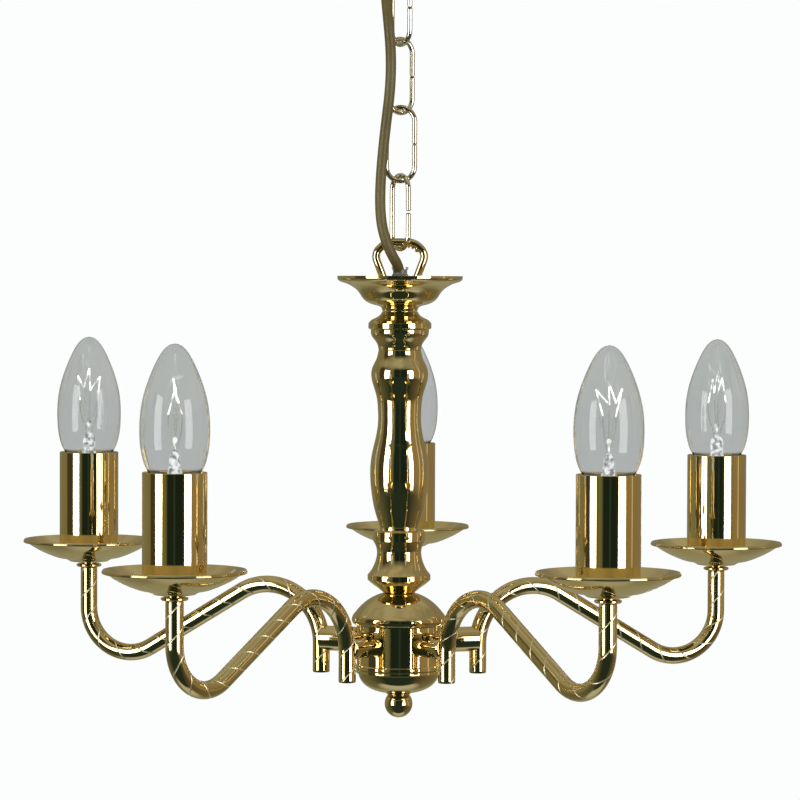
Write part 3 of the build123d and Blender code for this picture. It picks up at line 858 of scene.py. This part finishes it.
def cord_grip_ear(side):
    """Thin plate on one side of the grip's top, wider at its upper end."""
    inner, outer, depth, low, high = 2.95, 4.1, 1.2, 149.6, 151.5
    corners = [(inner, low), (outer, low), (outer + 0.5, high - 0.5), (outer, high), (inner, high)]
    line = eased([(side * x, z) for x, z in corners], 0.15)
    count = len(line)
    faces = [[k, (k + 1) % count, count + (k + 1) % count, count + k] for k in range(count)]
    faces += [list(range(count)), list(range(count, 2 * count))]
    return [(x, y, z) for y in (-depth, depth) for x, z in line], faces


def cord_grip():
    """Clear moulded grip: a stepped round body, ribbed, with two ears at its top."""
    bore = FLEX_D / 2 + 0.05
    rib_foot, rib_pitch = 142.0, 1.25
    outline = [(bore, 141.15), (4.3, 141.15)]
    for k in range(4):
        z = rib_foot + rib_pitch * k
        outline += [(4.25, z), (4.6, z + 0.3), (4.6, z + 0.75), (4.25, z + 1.0)]
    outline += [(4.5, 147.2), (3.9, 147.6), (3.7, 150.2), (bore, 150.2)]
    meshes = [lathe(eased(outline, 0.2), COARSE), cord_grip_ear(-1), cord_grip_ear(1)]
    add("cord_grip_body", meshes, "cord_grip", material="clear_grip_plastic")


def top_dish():
    """Spun dish: an upturned rim and an ogee down to its neck, with a floor for the rod."""
    floor = [(BORE_R, 132.1), (9.3, 132.1), (9.3, 127.9), (BORE_R, 127.9)]
    add("top_dish_shell", [shell(smooth_run(DISH), 0.42), lathe(eased(floor, 0.1))], "top_dish")


def turned_piece(name, outside, top, foot, node):
    """A turned casting with the rod's bore through it."""
    outline = outside + [(BORE_R, foot), (BORE_R, top)]
    add(name, [lathe(eased(outline, 0.35))], node)


def column():
    """The three turned castings between the dish and the hub."""
    collar = smooth_run(UPPER_COLLAR_TOP) + [(16.9, 118.5)] + smooth_run(UPPER_COLLAR_FOOT)
    turned_piece("upper_collar_casting", collar, 127.7, 107.0, "upper_collar")
    turned_piece("baluster_casting", smooth_run(BALUSTER), 107.0, 12.0, "baluster")
    lower = [(10.5, 12.0), (10.6, 10.2), (14.1, 9.6)] + smooth_run(LOWER_COLLAR_WAIST)
    lower += smooth_run(LOWER_COLLAR_FOOT)
    turned_piece("lower_collar_casting", lower, 12.0, -23.4, "lower_collar")


def hub():
    """Dome, drum with its lip, bottom dish and ball."""
    add("hub_dome_shell", [shell(smooth_run(DOME))], "hub_dome")
    drum = [
        (21.4, -40.8), (22.6, -40.8), (22.6, -62.1), (23.1, -62.5), (23.1, -64.6), (BORE_R, -64.6),
        (BORE_R, -63.4), (21.4, -63.4),
    ]
    add("hub_drum", [lathe(eased(drum, 0.25))], "hub_body")
    rim = [(20.6, -64.7), (22.9, -64.7), (22.9, -66.6), (20.6, -66.6)]
    bowl = shell(smooth_run(BOTTOM_DISH))
    add("bottom_dish_shell", [bowl, lathe(eased(rim, 0.35))], "bottom_dish")
    ball = arc((0, -83.3), 7.5, -90, 43, 0.5)
    bead = [(6.3, -78.1), (6.5, -77.9), (6.3, -77.5), (0, -77.5)]
    add("ball_finial_turning", [lathe(eased(ball + bead, 0.35))], "ball_finial")


# Arms -----------------------------------------------------------------------------------------

TUBE_D = 9.2
TUBE_WALL = 0.8
INNER_LEG_R = 44.6
INNER_LEG_END = -68.0
ARM_PEAK = -21.3
ARM_LOW = -61.7
OUTER_BEND_R = 24.5
INNER_BEND_R = 30.8
ARM_TOP = -15.2
SPIGOT_D = 13.4
SPIGOT_Z = -49.5
SPIRAL_LEAD = 28.0
SPIRAL_STARTS = 2
SPIRAL_WIDTH = 1.0
SPIRAL_DEPTH = 0.20
# Across a groove, in its half widths, and the share of its depth there
GROOVE = [
    (-1.25, 0.0), (-1.0, 0.02), (-0.6, 0.55), (0.0, 1.0), (0.6, 0.55), (1.0, 0.02), (1.25, 0.0),
]
PLAIN_SIDES = 15                # round the tube between two grooves
ARM_STEP = 0.62


def arm_path():
    """Centreline (x, z) of an arm, from its top down the outer leg to the inner leg's end."""
    out = np.array((ARM_REACH - OUTER_BEND_R, ARM_LOW + OUTER_BEND_R))
    inn = np.array((INNER_LEG_R + INNER_BEND_R, ARM_PEAK - INNER_BEND_R))
    apart = out - inn
    slope = math.asin((OUTER_BEND_R + INNER_BEND_R) / np.linalg.norm(apart))
    slope = math.degrees(slope - math.atan2(apart[1], apart[0]))
    low_bend = arc(out, OUTER_BEND_R, 0, -(90 + slope), ARM_STEP)
    arch = arc(inn, INNER_BEND_R, 90 - slope, 180, ARM_STEP)
    top, end = (ARM_REACH, ARM_TOP), (INNER_LEG_R, INNER_LEG_END)
    path = [top] + straight(top, low_bend[0], ARM_STEP) + low_bend
    path += straight(low_bend[-1], arch[0], ARM_STEP) + arch
    return path + straight(arch[-1], end, ARM_STEP) + [end]


def spiral_section(turn, spare):
    """Section of the engraved tube: a circle with a groove at each start, turned by the spiral."""
    radius = TUBE_D / 2 - spare
    half = SPIRAL_WIDTH / TUBE_D
    edge = GROOVE[-1][0] * half
    span = 2 * math.pi / SPIRAL_STARTS - 2 * edge
    points = []
    for start in range(SPIRAL_STARTS):
        base = turn + 2 * math.pi * start / SPIRAL_STARTS
        for across, depth in GROOVE:
            points.append((base + across * half, radius - depth * SPIRAL_DEPTH))
        points += [(base + edge + span * k / PLAIN_SIDES, radius) for k in range(1, PLAIN_SIDES)]
    return [(r * math.cos(a), r * math.sin(a)) for a, r in points]


def arm_tube():
    """The engraved tube, with its open lower end, and the numbers of the faces in its grooves."""
    end_ease, bore_depth = 0.3, 14.0
    path = [(x, 0.0, z) for x, z in arm_path()]
    lengths = run_lengths(path)
    radii = rounded_ends(path, TUBE_D / 2, end_ease)

    def section_at(i):
        turn = 2 * math.pi * lengths[i] / SPIRAL_LEAD
        return spiral_section(turn, TUBE_D / 2 - radii[i])

    verts, faces = sweep(path, section_at)
    faces.pop()
    turns = len(section_at(0))
    per_start = turns // SPIRAL_STARTS
    engraved = [n for n in range((len(path) - 1) * turns) if 1 <= n % turns % per_start <= 4]
    last = verts[-turns:]
    scale = (TUBE_D / 2 - TUBE_WALL) / (TUBE_D / 2 - end_ease)
    for lift in (0.0, bore_depth):
        start = len(verts)
        for x, y, _ in last:
            verts.append((INNER_LEG_R + (x - INNER_LEG_R) * scale, y * scale, INNER_LEG_END + lift))
        for k in range(turns):
            j = (k + 1) % turns
            faces.append([start - turns + k, start - turns + j, start + j, start + k])
    faces.append(list(range(len(verts) - turns, len(verts))))
    return (verts, faces), engraved


def spigot():
    """Short round spigot from the drum to the inner leg, with a shoulder at the drum."""
    outline = [
        (0, 21.5), (6.5, 21.5), (SPIGOT_D / 2, 22.4), (SPIGOT_D / 2, INNER_LEG_R - 0.9),
        (6.2, INNER_LEG_R), (0, INNER_LEG_R),
    ]
    verts, faces = lathe(eased(outline, 0.5), COARSE)
    return [(z, y, SPIGOT_Z - x) for x, y, z in verts], faces


def arms():
    """The five arms, each a tube with its spigot."""
    (tube, engraved), stub = arm_tube(), spigot()
    for n in range(1, ARMS + 1):
        add(f"arm_{n}_tube", [tube, stub], f"arm_{n}", material="tube_brass",
            place=at_arm(n - 1), marked=engraved)


# Lamps and their seats ------------------------------------------------------------------------

PAN_R = 36.2
PAN = [
    (10.4, -12.0), (11.4, -11.3), (16.0, -10.1), (21.0, -8.5), (26.0, -6.3), (30.4, -3.9),
    (33.8, -1.7), (PAN_R - 0.1, -0.2),
]
SLEEVE_R, SLEEVE_TOP, SLEEVE_BOTTOM = 16.2, 48.8, -8.8
LAMP_TIP = 112.5
GLASS_T = 0.6
GLASS = [
    (6.1, 41.2), (7.6, 43.2), (11.4, 46.6), (14.6, 51.4), (16.6, 58.0), (17.5, 67.5), (17.2, 77.4),
    (15.9, 85.4), (13.7, 92.9), (11.0, 99.8), (7.8, 106.2), (4.6, 110.4), (2.2, 112.0),
    (0.0, LAMP_TIP),
]


def pan_collar():
    """Turned bead and ring between the arm and the pan."""
    outline = [
        (3.1, -12.1), (3.9, -12.1), (4.35, -12.5), (4.1, -12.95), (5.9, -13.1), (6.9, -13.6),
        (6.9, -14.4), (6.2, -14.95), (5.2, -15.15), (3.1, -15.15),
    ]
    return lathe(eased(outline, 0.25), COARSE)


def drip_pan():
    """Spun pan with a flat foot and a rolled rim."""
    foot = [(3.1, -12.0), (10.4, -12.0), (10.4, -11.1), (3.1, -11.1)]
    rim_r = 0.75
    rim = arc((PAN_R - rim_r, -rim_r), rim_r, 0, 345, 0.2)
    return [shell(smooth_run(PAN), 0.2), lathe(eased(foot, 0.2)), lathe(rim)]


def candle_sleeve():
    """Thin polished sleeve with softly rolled edges."""
    inner = SLEEVE_R - SHELL_T
    outline = [
        (inner, SLEEVE_BOTTOM), (SLEEVE_R, SLEEVE_BOTTOM), (SLEEVE_R, SLEEVE_TOP),
        (inner, SLEEVE_TOP),
    ]
    return lathe(eased(outline, 0.4))


def glass_envelope():
    """Thin glass with an open neck."""
    outer = [(6.1, 36.0)] + smooth_run(GLASS, 8)
    outer[-1] = (0.0, LAMP_TIP)
    inner = inset(outer, GLASS_T)
    inner[-1] = (0.0, LAMP_TIP - GLASS_T)
    return lathe(outer + inner[::-1], COARSE)


def screw_cap():
    """Rolled thread, a rim at its top, and a tapered insulator with a contact."""
    sides, radius, pitch, depth, run_out = 72, 6.9, 2.82, 0.42, 1.2
    heights = np.linspace(20.4, 36.0, 68)
    thread = []
    for z in heights:
        fade = min((z - heights[0]) / run_out, (heights[-1] - z) / run_out, 1.0)
        row = []
        for k in range(sides):
            a = 2 * math.pi * k / sides
            r = radius - depth * fade * (0.5 + 0.5 * math.cos(2 * math.pi * z / pitch - a))
            row.append((r * math.cos(a), r * math.sin(a), z))
        thread.append(row)
    foot = [
        (0, 14.6), (2.0, 14.7), (2.4, 15.2), (2.4, 15.8), (4.2, 16.2), (6.4, 18.6), (6.8, 19.2),
    ]
    neck = [(6.7, 37.0), (6.5, 40.4), (6.15, 41.0), (6.15, 24.0), (0, 24.0)]
    foot, neck = ([ring(r, z, sides) for r, z in outline] for outline in (foot, neck))
    return rings_mesh(foot + thread + neck, closed=False)


def stem_glass():
    """Flared stem with a flattened pinch and a small button on a stalk."""
    profile = [
        (5.0, 41.0, 1.0), (4.9, 43.0, 1.0), (4.4, 46.0, 1.0), (3.7, 49.0, 0.95), (3.5, 51.5, 0.75),
        (3.7, 54.0, 0.5), (3.5, 56.5, 0.45), (2.4, 58.4, 0.6), (0.9, 59.6, 1.0), (0.8, 63.0, 1.0),
        (1.3, 64.4, 1.0), (1.2, 65.6, 1.0), (0.4, 66.4, 1.0),
    ]
    sides = 40
    rings = [ring(width, z, sides, flatness) for width, z, flatness in smooth_run(profile, 4)]
    return rings_mesh([ring(0, 41.0, sides)] + rings + [ring(0, 66.5, sides)], closed=False)


# The filament's corners, from the end of one lead to the end of the other
FILAMENT = [
    (-5.2, 0.2, 77.4), (-4.6, -4.8, 90.5), (-1.4, 1.4, 83.0), (0.2, -0.8, 95.0), (1.9, 2.9, 84.0),
    (4.7, 4.4, 91.0), (5.2, 0.2, 77.4),
]
COIL_PITCH, COIL_R, COIL_WIRE = 0.9, 0.34, 0.22
COIL_STEPS = 8                  # points in a turn


def coil(start, end):
    """Fine coil between two points."""
    start, end = Vector(start), Vector(end)
    ahead = (end - start).normalized()
    across = ahead.orthogonal().normalized()
    beside = ahead.cross(across)
    count = round((end - start).length / COIL_PITCH) * COIL_STEPS
    path = []
    for k in range(count + 1):
        a = 2 * math.pi * k / COIL_STEPS
        centre = start.lerp(end, k / count)
        path.append(tuple(centre + across * COIL_R * math.cos(a) + beside * COIL_R * math.sin(a)))
    return sweep(path, lambda i: circle(COIL_WIRE / 2, 6), side=(1, 0.3, 0.2))


def lamp_wires():
    """Leads and the thin supports that hold the filament's corners, and the zigzag filament."""
    lead_d, support_d, end_ease = 0.65, 0.3, 0.1
    meshes = []
    for side in (-1, 1):
        lead = smooth_run([(side * 1.3, 0, 55.0), (side * 1.6, 0, 60.0), (side * 4.6, 0.3, 69.0),
                           (side * 5.2, 0.2, 77.5)], 8)
        meshes.append(wire(lead, lead_d, end_ease, 12))
    for x, y, z in FILAMENT[1:-1]:
        support = smooth_run([(0.12 * x, 0.12 * y, 65.4), (0.5 * x, 0.5 * y, 72.0), (x, y, z)], 8)
        meshes.append(wire(support, support_d, end_ease, 10))
    return meshes, [coil(start, end) for start, end in zip(FILAMENT, FILAMENT[1:])]


def lamps():
    """At the end of each arm: collar, pan, sleeve and lamp."""
    wires, filament = lamp_wires()
    brass, stem_slot = "polished_brass", "lamp_mount_glass"
    pieces = [
        ("pan_collar_{}", [pan_collar()], "pan_collars", "fixture", brass, brass),
        ("drip_pan_{}_shell", drip_pan(), "drip_pan_{}", "fixture", brass, brass),
        ("candle_sleeve_{}", [candle_sleeve()], "candle_tube_{}", "candle_{}", "tube_brass", brass),
        ("lamp_glass_{}", [glass_envelope()], "bulb_glass_{}", "lamp_{}", "clear_glass", None),
        ("lamp_cap_{}", [screw_cap()], "bulb_cap_{}", "lamp_{}", "lamp_cap_nickel", None),
        ("lamp_stem_{}", [stem_glass()], "bulb_filament_{}", "lamp_{}", "mount_glass", stem_slot),
        ("lamp_wires_{}", wires, "bulb_filament_{}", "lamp_{}", "lamp_wire", stem_slot),
        ("lamp_coil_{}", filament, "bulb_filament_{}", "lamp_{}", "filament_tungsten", stem_slot),
    ]
    for n in range(1, ARMS + 1):
        for name, meshes, node, body, material, slot in pieces:
            add(name.format(n), meshes, node.format(n), body.format(n), material,
                at_lamp(n - 1))


# Pieces that keep their plain shapes, with their finish
KEPT = {
    "ceiling_plate": "plated_steel",
    "terminal_block": "white_plastic",
    "centre_rod": "plated_steel",
    "rod_nuts": "plated_steel",
    "arm_nuts": "plated_steel",
    "hub_terminal": "white_plastic",
    "lampholders": "white_plastic",
    "arm_wires": "wire_pvc",
}


def finish_kept_nodes():
    """Give the pieces that keep their shapes their materials."""
    for node, material in KEPT.items():
        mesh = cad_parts[node].data
        mesh.materials.clear()
        mesh.materials.append(MATERIALS[material])


def make_floor():
    """A plain floor, a room's height below the ceiling."""
    height, half = -2.4, 9.0
    mesh = bpy.data.meshes.new("floor")
    corners = [(-half, -half), (half, -half), (half, half), (-half, half)]
    mesh.from_pydata([(x, y, height) for x, y in corners], [], [(0, 1, 2, 3)])
    mesh.materials.append(MATERIALS["pale_floor"])
    floor = bpy.data.objects.new("floor", mesh)
    bpy.context.scene.collection.objects.link(floor)
    floor.visible_glossy = False


make_camera()
make_flex()
ceiling_hook()
ceiling_cup()
cup_screws()
for number, (turn_deg, gap) in enumerate(zip(LINK_TURNS_DEG, LINK_GAPS), start=1):
    chain_link(number, turn_deg, gap)
hanging_loop()
cord_grip()
top_dish()
column()
hub()
arms()
lamps()
finish_kept_nodes()
make_floor()
make_softbox("softbox_left", -51.0, 0.66, 12.0)
make_softbox("softbox_right", 46.0, 0.70, 12.8)
make_overhead()
make_world()
bpy.context.scene.view_settings.view_transform = "Standard"
